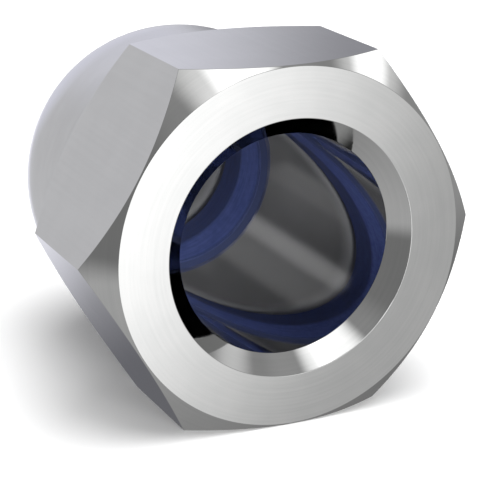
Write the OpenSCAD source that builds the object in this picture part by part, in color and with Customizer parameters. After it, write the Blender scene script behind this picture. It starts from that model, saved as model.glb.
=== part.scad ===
// Self-locking cap nut: a hexagon nut whose collar carries a captive plastic locking ring
// under a drawn dome cap. Millimetres, +Z up. The nut lies on one of its flats, with the
// thread axis along Y, the open mouth facing -Y and the dome facing +Y. The origin is the
// centre of the bearing face. Every piece is drawn upright along Z and then laid down.

/* [Hexagon] */
// Width across the flats
across_flats = 24; // [23:0.1:30]
// Height of the hexagon, from the bearing face to the face under the cap
hex_height = 12.35; // [9:0.05:20]
// How far the end faces stop inside the flats
face_inset = 0.085; // [0.02:0.005:0.6]
// Angle of the corner chamfers, measured from the end faces
chamfer_angle = 46; // [20:1:50]

/* [Bore and collar] */
// Diameter of the thread's bore, at its pitch line
bore_dia = 14.7; // [14:0.05:15.6]
// Depth of the countersunk mouth
mouth_depth = 1.22; // [0.4:0.02:2]
// Included angle of the countersunk mouth
mouth_angle = 90; // [60:1:120]
// Height of the collar above the hexagon
collar_height = 7.37; // [5:0.01:12]
// Chamfer round the collar's end, which starts the cap over it
collar_break = 0.3; // [0.1:0.05:0.8]

/* [Locking ring] */
// Height of the ring, from the collar's end face
ring_height = 5.66; // [4:0.02:7]
// Diameter of the ring's hole, which the bolt's thread bites into
ring_hole_dia = 13.1; // [12.4:0.05:13.5]
// Size of the 45 degree lead-in at the ring's lower edge
ring_lead = 0.4; // [0.1:0.05:0.5]
// How far up the ring its hole tapers before it runs straight
ring_taper_height = 3.1; // [1.5:0.1:3.9]
// Width of the ring's upper end face
ring_lip = 0.95; // [0.5:0.05:1.6]

/* [Dome cap] */
// Outside diameter of the cap
cap_dia = 21.86; // [20:0.02:22.8]
// Wall thickness of the cap
cap_wall = 1; // [0.6:0.05:1.4]
// Edge break round the outside of the cap's rim
rim_break = 0.2; // [0.05:0.05:0.5]

/* [Fits] */
// Gap on the radius between the cap and the collar that it is pressed on
press_gap = 0.03; // [0.01:0.01:0.1]
// Gap between the ring and the inside of the cap
ring_gap = 0.05; // [0.02:0.01:0.2]

/* [Hidden] */
$fn = 96;
steel = [0.74, 0.75, 0.76];
blue = [0.16, 0.20, 0.40];
// How far a cutting shape reaches past the face that it cuts
past = 1;

flat_r = across_flats / 2;
corner_r = flat_r / cos(30);
face_r = flat_r - face_inset;
// The turned blank is wider than the corners, so that its cones cut them clean
blank_r = corner_r + past;
chamfer_rise = (blank_r - face_r) * tan(chamfer_angle);
bore_r = bore_dia / 2;
mouth_r = bore_r + mouth_depth * tan(mouth_angle / 2);

cap_r = cap_dia / 2;
cap_in_r = cap_r - cap_wall;
collar_r = cap_in_r - press_gap;
seat_z = hex_height + collar_height;

ring_r = cap_in_r - ring_gap;
ring_top_z = seat_z + ring_height;
ring_hole_r = ring_hole_dia / 2;
// The crown starts where its inside just takes the upper corner of the ring, to a hundredth
crown_start = ring_top_z - sqrt(pow(ring_r, 2) - pow(ring_hole_r + ring_lip, 2));
crown_z = round(crown_start * 100) / 100;

// Lays a piece drawn along Z down along +Y
module laid() {
    rotate([-90, 0, 0]) children();
}

// Round post with a hemispherical end, centred on the crown
module crowned_post(radius, foot_z) {
    translate([0, 0, foot_z]) cylinder(r = radius, h = crown_z - foot_z);
    translate([0, 0, crown_z]) rotate_extrude() intersection() {
        circle(radius);
        square(radius);
    }
}

// Blank that the hexagon is turned to, with a cone at each end
module turned_blank() {
    rotate_extrude() polygon([
        [0, 0],
        [face_r, 0],
        [blank_r, chamfer_rise],
        [blank_r, hex_height - chamfer_rise],
        [face_r, hex_height],
        [0, hex_height]
    ]);
}

module hexagon() {
    intersection() {
        cylinder(r = corner_r, h = hex_height, $fn = 6);
        turned_blank();
    }
}

// Collar that carries the end of the thread, the ring's seat and the cap
module collar() {
    rotate_extrude() polygon([
        [0, hex_height - past],
        [collar_r, hex_height - past],
        [collar_r, seat_z - collar_break],
        [collar_r - collar_break, seat_z],
        [0, seat_z]
    ]);
}

module countersink() {
    translate([0, 0, -past]) cylinder(
        r1 = mouth_r + past * tan(mouth_angle / 2),
        r2 = bore_r,
        h = mouth_depth + past
    );
}

module nut_body() {
    color(steel) laid() difference() {
        union() {
            hexagon();
            collar();
        }
        translate([0, 0, -past]) cylinder(r = bore_r, h = seat_z + 2 * past);
        countersink();
    }
}

// Hole of the ring: a lead-in, a taper that the bolt bites into, then a straight run
module ring_hole() {
    rotate_extrude() polygon([
        [0, seat_z - past],
        [bore_r + past, seat_z - past],
        [bore_r - ring_lead, seat_z + ring_lead],
        [ring_hole_r, seat_z + ring_taper_height],
        [ring_hole_r, ring_top_z + past],
        [0, ring_top_z + past]
    ]);
}

// Plastic ring: sits on the collar's end and fills the shoulder of the dome
module locking_ring() {
    color(blue) laid() difference() {
        intersection() {
            translate([0, 0, seat_z]) cylinder(r = cap_r, h = ring_height);
            crowned_post(ring_r, min(seat_z, crown_z) - past);
        }
        ring_hole();
    }
}

// Drawn cap: its skirt is pressed over the collar, down to the hexagon
module dome_cap() {
    color(steel) laid() difference() {
        crowned_post(cap_r, hex_height);
        crowned_post(cap_in_r, hex_height - past);
        rim_chamfer();
    }
}

// Ring of metal taken off the outer edge of the cap's rim
module rim_chamfer() {
    rotate_extrude() polygon([
        [cap_r - rim_break, hex_height],
        [cap_r, hex_height - past],
        [cap_r + past, hex_height - past],
        [cap_r + past, hex_height + rim_break],
        [cap_r, hex_height + rim_break]
    ]);
}

nut_body();
locking_ring();
dome_cap();
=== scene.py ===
import math

import bmesh
import bpy
from mathutils import Matrix, Vector


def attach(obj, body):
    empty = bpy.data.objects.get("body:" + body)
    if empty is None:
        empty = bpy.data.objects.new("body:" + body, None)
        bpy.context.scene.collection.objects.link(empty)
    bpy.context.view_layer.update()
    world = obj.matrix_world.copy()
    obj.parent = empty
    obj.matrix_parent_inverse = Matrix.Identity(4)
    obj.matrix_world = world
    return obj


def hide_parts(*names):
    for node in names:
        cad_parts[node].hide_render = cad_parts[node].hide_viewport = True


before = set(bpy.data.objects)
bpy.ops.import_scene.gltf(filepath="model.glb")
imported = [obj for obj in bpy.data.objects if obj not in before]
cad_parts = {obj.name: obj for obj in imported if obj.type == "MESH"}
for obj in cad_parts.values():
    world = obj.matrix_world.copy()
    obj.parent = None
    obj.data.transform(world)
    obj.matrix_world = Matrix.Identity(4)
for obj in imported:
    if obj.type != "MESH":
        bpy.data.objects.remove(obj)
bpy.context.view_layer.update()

mm = 0.001
fullTurn = 2 * math.pi
weld = 0.0001  # points nearer than this become one, in millimetres
spread = (0.3, 0.7)  # where nearly all the values of a noise lie
print("frame loaded:", ", ".join(sorted(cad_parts)))


# One socket of a shader tree, so that shader maths reads as plain expressions
class Wire:
    def __init__(self, tree, socket=None):
        self.tree = tree
        self.socket = socket

    # Adds any node: its settings first, then values or wires for its sockets
    def node(self, kind, settings=None, inputs=None, out=0):
        made = self.tree.nodes.new(kind)
        for name, value in (settings or {}).items():
            setattr(made, name, value)
        for name, value in (inputs or {}).items():
            if isinstance(value, Wire):
                self.tree.links.new(value.socket, made.inputs[name])
            else:
                made.inputs[name].default_value = value
        return Wire(self.tree, made.outputs[out] if made.outputs else None)

    def maths(self, operation, *values):
        return self.node("ShaderNodeMath", {"operation": operation}, dict(enumerate(values)))

    def vector(self, operation, first, second, out=0):
        return self.node("ShaderNodeVectorMath", {"operation": operation}, {0: first, 1: second}, out)

    def __add__(self, other):
        return self.maths("ADD", self, other)

    def __sub__(self, other):
        return self.maths("SUBTRACT", self, other)

    def __mul__(self, other):
        return self.maths("MULTIPLY", self, other)

    def __truediv__(self, other):
        return self.maths("DIVIDE", self, other)

    def __pow__(self, other):
        return self.maths("POWER", self, other)

    def __rsub__(self, other):
        return self.maths("SUBTRACT", other, self)

    __radd__ = __add__
    __rmul__ = __mul__

    # Goes smoothly from low to high while this value goes from start to end
    def fade(self, start, end, low=0.0, high=1.0):
        return self.node("ShaderNodeMapRange", {"interpolation_type": "SMOOTHSTEP"},
                         {"Value": self, "From Min": start, "From Max": end, "To Min": low, "To Max": high})

    # Goes from the first colour to the second while this value goes from 0 to 1
    def blend(self, *colours):
        first, second = (c if isinstance(c, Wire) else (*c, 1) for c in colours)
        return self.node("ShaderNodeMix", {"data_type": "RGBA"}, {0: self, 6: first, 7: second}, 2)

    def bump(self, depth):
        return self.node("ShaderNodeBump", None, {"Strength": 1.0, "Distance": depth, "Height": self})


# An empty material and the place on the piece, in millimetres
def newMaterial(name):
    material = bpy.data.materials.new(name)
    material.use_nodes = True
    material.node_tree.nodes.clear()
    start = Wire(material.node_tree)
    place = start.node("ShaderNodeTexCoord", None, None, "Object")
    return material, start.node("ShaderNodeVectorMath", {"operation": "SCALE"}, {0: place, "Scale": 1 / mm})


def noise(place, scale, detail=2.0):
    return place.node("ShaderNodeTexNoise", None, {"Vector": place, "Scale": scale, "Detail": detail})


def sides(place):
    return (place.node("ShaderNodeSeparateXYZ", None, {0: place}, side) for side in "XYZ")


def radiusOf(place):
    x, y, z = sides(place)
    return (x * x + z * z) ** 0.5


# Lines that a lathe leaves: they run round Y, and change with the radius and along the axis
def latheLines(place, perMillimetre, wander):
    x, y, z = sides(place)
    radius = radiusOf(place)
    across = place.node("ShaderNodeCombineXYZ", None, {
        "X": x / radius * wander, "Y": radius * perMillimetre, "Z": y * perMillimetre})
    return place.node("ShaderNodeTexNoise", {"noise_dimensions": "4D"},
                      {"Vector": across, "W": z / radius * wander, "Scale": 1.0, "Detail": 3.0})


# A share of the first pattern and the rest of the second, spread from low to high
def mingle(first, second, share, low=0.0, high=1.0):
    return (first * share + second * (1 - share)).fade(*spread, low, high)


def shine(place, settings):
    return place.node("ShaderNodeBsdfPrincipled", None, settings)


def output(surface):
    surface.node("ShaderNodeOutputMaterial", None, {"Surface": surface})


turnedSteel = {
    "dull": (0.69, 0.695, 0.69), "bright": (0.745, 0.745, 0.74),
    "roughness": (0.02, 0.05),
    "linesPerMillimetre": 5.0, "lineWander": 1.5,
    "lineDepth": 0.0000003,  # metres
    "linesInColour": 0.5, "linesInRoughness": 0.4,  # the rest of each comes from the patches
    "patchesPerMillimetre": 0.35,
}


# The end faces, chamfers and countersink, bright from the lathe
def makeTurnedSteel():
    t = turnedSteel
    material, place = newMaterial("turned steel")
    lines = latheLines(place, t["linesPerMillimetre"], t["lineWander"])
    patches = noise(place, t["patchesPerMillimetre"])
    output(shine(place, {
        "Base Color": mingle(lines, patches, t["linesInColour"]).blend(t["dull"], t["bright"]),
        "Metallic": 1.0,
        "Roughness": mingle(lines, patches, t["linesInRoughness"], *t["roughness"]),
        "Normal": lines.bump(t["lineDepth"])}))
    return material


drawnSteel = {
    "dull": (0.7, 0.7, 0.705), "bright": (0.735, 0.735, 0.74),
    "roughness": (0.04, 0.07),
    "across": 3.0, "along": 0.06,  # lines to the millimetre
    "lineDepth": 0.0000006,
    "linesInColour": 0.4,
    "patchesPerMillimetre": 0.3,
}


# The flats keep the skin of the drawn hexagon bar, with faint lines along Y
def makeDrawnSteel():
    d = drawnSteel
    material, place = newMaterial("drawn steel")
    stretched = place.vector("MULTIPLY", place, (d["across"], d["along"], d["across"]))
    lines = noise(stretched, 1.0, detail=3.0)
    patches = noise(place, d["patchesPerMillimetre"])
    output(shine(place, {
        "Base Color": mingle(lines, patches, d["linesInColour"]).blend(d["dull"], d["bright"]),
        "Metallic": 1.0,
        "Roughness": patches.fade(*spread, *d["roughness"]),
        "Normal": lines.bump(d["lineDepth"])}))
    return material


boreSteel = {
    "dull": (0.6984, 0.6984, 0.7081), "bright": (0.72, 0.72, 0.73),
    "roughness": (0.008, 0.02),
    "patchesPerMillimetre": 0.5,
    "flankColour": (0.72, 0.72, 0.72), "flankRoughness": 0.12,
    "flankTilt": 60,  # degrees from the wall
    "flankShare": 0.13,
    "firstTurns": (4.0, 5.4),  # depth over which the flanks come in, in millimetres
    "hiddenDepth": 46,  # millimetres deeper for each unit of slant, until the view grazes the wall
    "slant": (0.3, 0.47), "grazing": (0.82, 0.92),  # 0 is square on, 1 is along the wall
}


# The thread is finer than the picture shows: its crests mirror the bore, and past the first turns
# its flanks look out of the mouth
def makeBoreSteel():
    b = boreSteel
    material, place = newMaterial("threaded bore")
    patches = noise(place, b["patchesPerMillimetre"])
    crests = shine(place, {
        "Base Color": patches.fade(*spread).blend(b["dull"], b["bright"]),
        "Metallic": 1.0,
        "Roughness": patches.fade(*spread, *b["roughness"])})
    along = place.node("ShaderNodeSeparateXYZ", None, {0: place}, "Y")
    flanks = shine(place, {
        "Base Color": (*b["flankColour"], 1),
        "Metallic": 1.0,
        "Roughness": b["flankRoughness"],
        "Normal": (along * math.tan(math.radians(b["flankTilt"]))).bump(mm)})
    slant = place.node("ShaderNodeLayerWeight", None, {"Blend": 0.5}, "Facing")
    hidden = (slant - b["slant"][1]) * b["hiddenDepth"] * slant.fade(*b["grazing"], 1.0, 0.0)
    share = (along - hidden).fade(*b["firstTurns"]) * slant.fade(*b["slant"]) * b["flankShare"]
    output(place.node("ShaderNodeMixShader", None, {0: share, 1: crests, 2: flanks}))
    return material


capSteel = {
    "dull": (0.68, 0.68, 0.685), "bright": (0.74, 0.74, 0.745),
    "roughness": (0.17, 0.23),
    "linesPerMillimetre": 2.0, "lineWander": 4.0,
    "lineDepth": 0.0000004,
    "linesInColour": 0.3, "linesInRoughness": 0.4,
    "patchesPerMillimetre": 0.22,
}


# The cap is deep drawn and tumbled: satin outside
def makeCapSteel():
    c = capSteel
    material, place = newMaterial("tumbled cap steel")
    lines = latheLines(place, c["linesPerMillimetre"], c["lineWander"])
    patches = noise(place, c["patchesPerMillimetre"])
    output(shine(place, {
        "Base Color": mingle(lines, patches, c["linesInColour"]).blend(c["dull"], c["bright"]),
        "Metallic": 1.0,
        "Roughness": mingle(lines, patches, c["linesInRoughness"], *c["roughness"]),
        "Normal": lines.bump(c["lineDepth"])}))
    return material


capLining = {
    "deep": (0.324, 0.3285, 0.333), "pale": (0.36, 0.365, 0.37),
    # The crown colour is a painted shade for the end of the crown, deep inside the cap
    "crown": (0.1, 0.1, 0.102),
    "crownShadeFrom": (26.0, 27.2),  # distance from the bearing face, in millimetres
    "crownShadeFray": 0.2,
    "roughness": (0.55, 0.7),
    "grainPerMillimetre": 6.0,
    "grainDepth": 0.000004,
}


# Inside, the cap keeps the dull grey of the press; the end of the crown is painted nearly black, a painted
# shade deep in the cap
def makeCapLining():
    c = capLining
    material, place = newMaterial("dull cap lining")
    grain = noise(place, c["grainPerMillimetre"], detail=4.0)
    along = place.node("ShaderNodeSeparateXYZ", None, {0: place}, "Y")
    # Painted shade: darker towards the end of the crown, with a frayed edge
    crown = (along + grain * c["crownShadeFray"]).fade(*c["crownShadeFrom"])
    skin = grain.fade(*spread).blend(c["deep"], c["pale"])
    output(shine(place, {
        "Base Color": crown.blend(skin, c["crown"]),
        "Roughness": grain.fade(*spread, *c["roughness"]),
        "Normal": grain.bump(c["grainDepth"])}))
    return material


bluePlastic = {
    "deep": (0.075, 0.105, 0.28), "pale": (0.105, 0.145, 0.37),
    # The taper's blues are brighter copies of the skin's blues: painted light
    "litTaperDeep": (0.1, 0.145, 0.42), "litTaperPale": (0.155, 0.21, 0.55),
    # The lead colour is a painted shade for the lead-in at the foot of the hole
    "lead": (0.05, 0.065, 0.15),
    "litTaperFrom": (6.56, 6.6), "litTaperTo": (6.9, 6.95), "leadShadeFrom": (6.95, 7.0),  # radii in millimetres
    "roughness": (0.35, 0.5),
    "linesPerMillimetre": 6.0, "lineWander": 2.5,
    "lineDepth": 0.000006,
    "linesInColour": 0.5, "contrast": (0.35, 0.65),
    "mottlePerMillimetre": 2.2,
}


# The taper of the hole is painted a brighter blue, as painted light, and the lead-in at its foot is painted
# the darkest blue, as painted shade
def makeBluePlastic():
    p = bluePlastic
    material, place = newMaterial("blue polyamide")
    lines = latheLines(place, p["linesPerMillimetre"], p["lineWander"])
    mottle = noise(place, p["mottlePerMillimetre"], detail=4.0)
    cloud = (lines * p["linesInColour"] + mottle * (1 - p["linesInColour"])).fade(*p["contrast"])
    radius = radiusOf(place)
    # Painted light: the taper of the hole, between these radii, takes the brighter blues
    litTaper = radius.fade(*p["litTaperFrom"]) * (1 - radius.fade(*p["litTaperTo"]))
    skin = litTaper.blend(cloud.blend(p["deep"], p["pale"]), cloud.blend(p["litTaperDeep"], p["litTaperPale"]))
    output(shine(place, {
        # Painted shade: the lead-in at the foot of the hole takes the darkest blue
        "Base Color": radius.fade(*p["leadShadeFrom"]).blend(skin, p["lead"]),
        "Roughness": mottle.fade(*spread, *p["roughness"]),
        "Normal": lines.bump(p["lineDepth"])}))
    return material


# Spins a wire about Y; a point is (radius, along) and an arc is (centre along, turn, steps)
def turned(outline, steps, closed=True):
    mesh = bmesh.new()
    first = last = mesh.verts.new((*outline[0], 0))
    for move in outline[1:]:
        if len(move) == 2:
            following = mesh.verts.new((*move, 0))
            mesh.edges.new((last, following))
        else:
            arc = bmesh.ops.spin(mesh, geom=[last], cent=(0, move[0], 0), axis=(0, 0, 1),
                                 angle=move[1], steps=move[2])
            following = [v for v in arc["geom_last"] if isinstance(v, bmesh.types.BMVert)][0]
        last = following
    if closed:
        mesh.edges.new((last, first))
    bmesh.ops.spin(mesh, geom=mesh.verts[:] + mesh.edges[:], cent=(0, 0, 0), axis=(0, 1, 0),
                   angle=fullTurn, steps=steps, use_merge=True)
    bmesh.ops.remove_doubles(mesh, verts=mesh.verts, dist=weld)
    bmesh.ops.recalc_face_normals(mesh, faces=mesh.faces)
    return mesh


# Distance of a face's middle from the axis
def reach(face):
    middle = face.calc_center_median()
    return math.hypot(middle.x, middle.z)


# Turns a bmesh in millimetres into a piece that stands for a CAD node; edges that turn
# by more than sharpAngle degrees stay sharp
def finishPiece(mesh, name, node, materials, sharpAngle=12):
    bmesh.ops.scale(mesh, vec=(mm, mm, mm), verts=mesh.verts)
    for face in mesh.faces:
        face.smooth = True
    for edge in mesh.edges:
        edge.smooth = edge.calc_face_angle(0) < math.radians(sharpAngle)
    data = bpy.data.meshes.new(name)
    mesh.to_mesh(data)
    mesh.free()
    piece = bpy.data.objects.new(name, data)
    bpy.context.scene.collection.objects.link(piece)
    for material in materials:
        data.materials.append(material)
    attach(piece, "root")
    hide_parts(node)
    print(name, "made with", len(data.polygons), "faces")
    return piece


# Millimetres and degrees; seat is the collar's end face, where the ring sits
hexNut = {
    "acrossFlats": 24, "hexHeight": 12.35, "faceInset": 0.085, "chamferAngle": 46,
    "boreRadius": 7.35, "mouthDepth": 1.22,
    "collarRadius": 9.9, "seat": 19.72, "collarBreak": 0.3,
    "blankSpare": 1,  # how much wider than the corners the blank is
    "edgeBreak": 0.02, "brokenFrom": 20,  # only edges that turn by more than this are broken
    "steps": 240,
}


# A blank turned wider than the corners, then cut to six flats. The wall of the bore is the only
# face whose middle lies inside the bore's radius
def makeHexNut():
    n = hexNut
    halfSide = math.radians(30)
    flat = n["acrossFlats"] / 2
    rim = flat - n["faceInset"]
    blank = flat / math.cos(halfSide) + n["blankSpare"]
    rise = (blank - rim) * math.tan(math.radians(n["chamferAngle"]))
    mesh = turned([
        (n["boreRadius"], n["mouthDepth"]), (n["boreRadius"] + n["mouthDepth"], 0), (rim, 0),
        (blank, rise), (blank, n["hexHeight"] - rise), (rim, n["hexHeight"]),
        (n["collarRadius"], n["hexHeight"]), (n["collarRadius"], n["seat"] - n["collarBreak"]),
        (n["collarRadius"] - n["collarBreak"], n["seat"]), (n["boreRadius"], n["seat"]),
    ], n["steps"])
    for face in mesh.faces:
        face.material_index = 1 if reach(face) < n["boreRadius"] else 0
    for side in range(6):
        turn = (2 * side + 1) * halfSide
        way = Vector((math.cos(turn), 0, math.sin(turn)))
        cut = bmesh.ops.bisect_plane(mesh, geom=mesh.verts[:] + mesh.edges[:] + mesh.faces[:],
                                     plane_co=way * flat, plane_no=way, clear_outer=True)
        outline = [e for e in cut["geom_cut"] if isinstance(e, bmesh.types.BMEdge)]
        for filled in bmesh.ops.contextual_create(mesh, geom=outline)["faces"]:
            filled.material_index = 2
    bmesh.ops.remove_doubles(mesh, verts=mesh.verts, dist=n["edgeBreak"])
    bmesh.ops.recalc_face_normals(mesh, faces=mesh.faces)
    corners = [e for e in mesh.edges if e.calc_face_angle(0) > math.radians(n["brokenFrom"])]
    bmesh.ops.bevel(mesh, geom=corners, offset=n["edgeBreak"], offset_type="OFFSET", affect="EDGES",
                    segments=2, profile=0.5, material=-1, clamp_overlap=True)
    return finishPiece(mesh, "hexNut", "nut_body",
                       [makeTurnedSteel(), makeBoreSteel(), makeDrawnSteel()])


makeHexNut()

lockRing = {
    "radius": 9.88, "top": 25.38, "lead": 0.4, "taperHeight": 3.1, "holeRadius": 6.55, "lip": 0.95,
    "grooveWidth": 0.16, "grooveDepth": 0.22,  # the fine groove round the foot of the hole
    "steps": 240, "arcSteps": 16, "sharpAngle": 5,
}
# The crown is the height of the centre that the inside and the outside of the dome share
domeCap = {
    "radius": 10.93, "wall": 1.0, "crown": 18.95, "rimBreak": 0.2,
    "steps": 240, "arcSteps": 48,
}


# The ring's shoulder is an arc about the centre of the dome, from the collar's end up to its lip
def makeLockRing():
    r, seat = lockRing, hexNut["seat"]
    crown = domeCap["crown"]
    low = math.asin((seat - crown) / r["radius"])
    high = math.acos((r["holeRadius"] + r["lip"]) / r["radius"])
    throat = hexNut["boreRadius"] - r["lead"]
    mesh = turned([
        (r["radius"] * math.cos(low), seat), (crown, high - low, r["arcSteps"]),
        (r["holeRadius"], r["top"]), (r["holeRadius"], seat + r["taperHeight"]),
        (throat, seat + r["lead"] + r["grooveWidth"]),
        (throat + r["grooveDepth"], seat + r["lead"] + r["grooveWidth"] / 2), (throat, seat + r["lead"]),
        (hexNut["boreRadius"], seat),
    ], r["steps"])
    return finishPiece(mesh, "lockRing", "locking_ring", [makeBluePlastic()],
                       r["sharpAngle"])


makeLockRing()


# Outside and lining are turned apart, because each has its own material, and then welded
def makeDomeCap():
    d, foot = domeCap, hexNut["hexHeight"]
    quarter = fullTurn / 4
    inner = d["radius"] - d["wall"]
    mesh = turned([(d["radius"] - d["rimBreak"], foot), (d["radius"], foot + d["rimBreak"]),
                   (d["radius"], d["crown"]), (d["crown"], quarter, d["arcSteps"])],
                  d["steps"], closed=False)
    lining = turned([(d["radius"] - d["rimBreak"], foot), (inner, foot), (inner, d["crown"]),
                     (d["crown"], quarter, d["arcSteps"])],
                    d["steps"], closed=False)
    for face in lining.faces:
        face.material_index = 1
    spare = bpy.data.meshes.new("lining")
    lining.to_mesh(spare)
    lining.free()
    mesh.from_mesh(spare)
    bpy.data.meshes.remove(spare)
    bmesh.ops.remove_doubles(mesh, verts=mesh.verts, dist=weld)
    bmesh.ops.recalc_face_normals(mesh, faces=mesh.faces)
    return finishPiece(mesh, "domeCap", "dome_cap", [makeCapSteel(), makeCapLining()])


makeDomeCap()


# A direction from an azimuth, 0 towards the viewer of the open mouth, and an elevation, in degrees
def towards(azimuth, elevation):
    a, e = math.radians(azimuth), math.radians(elevation)
    return Vector((math.sin(a) * math.cos(e), -math.cos(a) * math.cos(e), math.sin(e)))


# Levels of light, where 1 is white. The steel mirrors this world, and the streaks show in the bore
studio = {
    "walls": 0.26, "ground": 0.32,
    "wallTilt": -0.06, "groundTilt": 0.16,  # added on the side of the lean, taken off on the other
    "lean": (-60, 0),  # azimuth and elevation
    "groundEdge": (-0.2, -0.41),  # sine of the elevation where the ground starts and where it is full
    # Azimuth, elevation, degrees from its middle to its full and to its faded edge, level, tint.
    # A level below 0 is a dark flag
    "panels": {
        "front": (5, -5, 16, 28, 1.07, (1, 1, 1)),
        "frontGlow": (18, 5, 20, 40, 0.24, (1, 1, 1)),
        "roof": (15, 73, 6, 17, 1.3, (1, 1, 1)),
        "roofFront": (-14, 57, 0, 18.5, 1.1, (1, 1, 1)),
        "roofRight": (45, 60, 5, 22, 0.07, (1, 1, 1)),
        "roofLeft": (-25, 45, 8, 29, 0.09, (1, 1, 1)),
        "rightSpot": (93, 33, 0, 9.5, 0.8, (1, 1, 1)),
        "rightGlow": (93, 33, 0, 18, 0.5, (1, 1, 1)),
        "broadStreak": (-23.5, 17.5, 2, 7.5, 1.4, (1, 1, 1)),
        "upperStreak": (-12, 28, 5, 11, 0.5, (1, 1, 1)),
        "lowerStreak": (-33.5, -15, 3, 9, 0.42, (1, 1, 1)),
        "frontFlag": (-3, 20, 26, 40, -0.17, (1, 1, 1)),
        "lowFlag": (-29, -24, 9, 18, -0.22, (1, 1, 1)),
        "floorFlag": (-33, -33, 6, 12, -0.15, (1, 1, 1)),
        "back": (-167, 6.5, 34.8, 41, 0.34, (0.99, 0.99, 1.03)),
        "backGlow": (176, 11, 12, 23, 0.14, (0.9, 0.92, 1.3)),
        "backLow": (172, -16, 7, 10.3, 0.38, (0.97, 0.97, 1.1)),
        "backFlag": (168, -33, 4, 12, -0.09, (1, 1, 1)),
        "backEdge": (173, -25, 0, 3.5, 0.02, (1, 1, 1)),
        "backTint": (162, -3, 18, 34, 0.03, (0.05, 0.1, 1)),
    },
}


def makeStudio():
    s = studio
    world = bpy.data.worlds.new("studio")
    bpy.context.scene.world = world
    world.use_nodes = True
    world.node_tree.nodes.clear()
    view = Wire(world.node_tree).node("ShaderNodeTexCoord", None, None, "Generated")
    lean = view.vector("DOT_PRODUCT", view, towards(*s["lean"]), "Value")
    height = view.node("ShaderNodeSeparateXYZ", None, {0: view}, "Z")
    low = height.fade(*s["groundEdge"])
    level = (lean * s["wallTilt"] + s["walls"]) * (1 - low) + (lean * s["groundTilt"] + s["ground"]) * low
    colour = level.blend((0, 0, 0), (1, 1, 1))
    for azimuth, elevation, full, outer, strength, tint in s["panels"].values():
        near = view.vector("DOT_PRODUCT", view, towards(azimuth, elevation), "Value")
        glow = near.fade(math.cos(math.radians(outer)), math.cos(math.radians(full)))
        panel = glow.node("ShaderNodeVectorMath", {"operation": "SCALE"},
                          {0: tuple(strength * t for t in tint), "Scale": glow})
        colour = colour.vector("ADD", colour, panel)
    colour = colour.vector("MAXIMUM", colour, (0, 0, 0))
    back = colour.node("ShaderNodeBackground", None, {"Color": colour, "Strength": 1.0})
    back.node("ShaderNodeOutputWorld", None, {"Surface": back})


makeStudio()

# Soft lamps for the floor, the plastic and the lining of the cap; the bright steel mirrors the
# studio instead. Distance and size are in metres, power is in watts
lamps = {
    "overhead": {"azimuth": 40, "elevation": 80, "distance": 1.2, "size": 1.2, "power": 17.5},
    "front": {"azimuth": 0, "elevation": 4, "distance": 0.6, "size": 0.3, "power": 4.4},
}


def makeLamp(name):
    lamp = lamps[name]
    data = bpy.data.lights.new(name, "AREA")
    data.size, data.energy = lamp["size"], lamp["power"]
    holder = bpy.data.objects.new(name, data)
    bpy.context.scene.collection.objects.link(holder)
    way = towards(lamp["azimuth"], lamp["elevation"])
    turn = (-way).to_track_quat("-Z", "Y").to_matrix().to_4x4()
    holder.matrix_world = Matrix.Translation(way * lamp["distance"]) @ turn
    holder.visible_glossy = False


for name in lamps:
    makeLamp(name)

# Metres; a lift is light that shows but falls on nothing else, where 1 is white
stage = {
    "radius": 0.6, "steps": 96,
    "floorHeight": -0.012, "floorColour": (0.94, 0.94, 0.94), "floorLift": 0.05,
    "wallHeight": 0.6, "wallColour": (0, 0, 0), "wallLift": 1.0,
}


# The steel mirrors the panels of the studio, so floor and backdrop stay out of its reflections
def addToStage(mesh, name, colour, lift):
    data = bpy.data.meshes.new(name)
    mesh.to_mesh(data)
    mesh.free()
    thing = bpy.data.objects.new(name, data)
    bpy.context.scene.collection.objects.link(thing)
    material, place = newMaterial(name)
    matt = place.node("ShaderNodeBsdfDiffuse", None, {"Color": (*colour, 1)})
    seen, mirrored, through = (place.node("ShaderNodeLightPath", None, None, ray) for ray in
                               ("Is Camera Ray", "Is Glossy Ray", "Is Transmission Ray"))
    glow = place.node("ShaderNodeEmission", None, {"Strength": (seen + mirrored + through) * lift})
    output(place.node("ShaderNodeAddShader", None, {0: matt, 1: glow}))
    data.materials.append(material)
    thing.visible_glossy = False
    return thing


def makeFloor():
    mesh = bmesh.new()
    bmesh.ops.create_circle(mesh, cap_ends=True, segments=stage["steps"], radius=stage["radius"],
                            matrix=Matrix.Translation((0, 0, stage["floorHeight"])))
    addToStage(mesh, "floor", stage["floorColour"], stage["floorLift"])


# A white wall behind everything, which takes no light away from the object
def makeBackdrop():
    mesh = bmesh.new()
    bmesh.ops.create_cone(mesh, cap_ends=True, segments=stage["steps"], depth=2 * stage["wallHeight"],
                          radius1=stage["radius"], radius2=stage["radius"])
    backdrop = addToStage(mesh, "backdrop", stage["wallColour"], stage["wallLift"])
    backdrop.visible_diffuse = backdrop.visible_shadow = False


makeBackdrop()
makeFloor()
print("studio made")

camera = {
    "azimuth": -24.446, "elevation": 17.777, "roll": -0.183,  # degrees
    "place": (-50.756, -104.910, 37.784),  # millimetres
    "focal": 1922.2, "imageWidth": 500,  # pixels of the photograph
    "clip": (0.005, 10),  # metres
}


def makeCamera():
    data = bpy.data.cameras.new("camera")
    eye = bpy.data.objects.new("camera", data)
    bpy.context.scene.collection.objects.link(eye)
    data.lens = camera["focal"] * data.sensor_width / camera["imageWidth"]
    data.clip_start, data.clip_end = camera["clip"]
    back = towards(camera["azimuth"], camera["elevation"])
    turn = (-back).to_track_quat("-Z", "Y").to_matrix()
    roll = Matrix.Rotation(math.radians(camera["roll"]), 3, "Z")
    eye.matrix_world = Matrix.Translation(Vector(camera["place"]) * mm) @ (turn @ roll).to_4x4()
    bpy.context.scene.camera = eye


makeCamera()
bpy.context.scene.view_settings.view_transform = "Standard"
print("camera set")
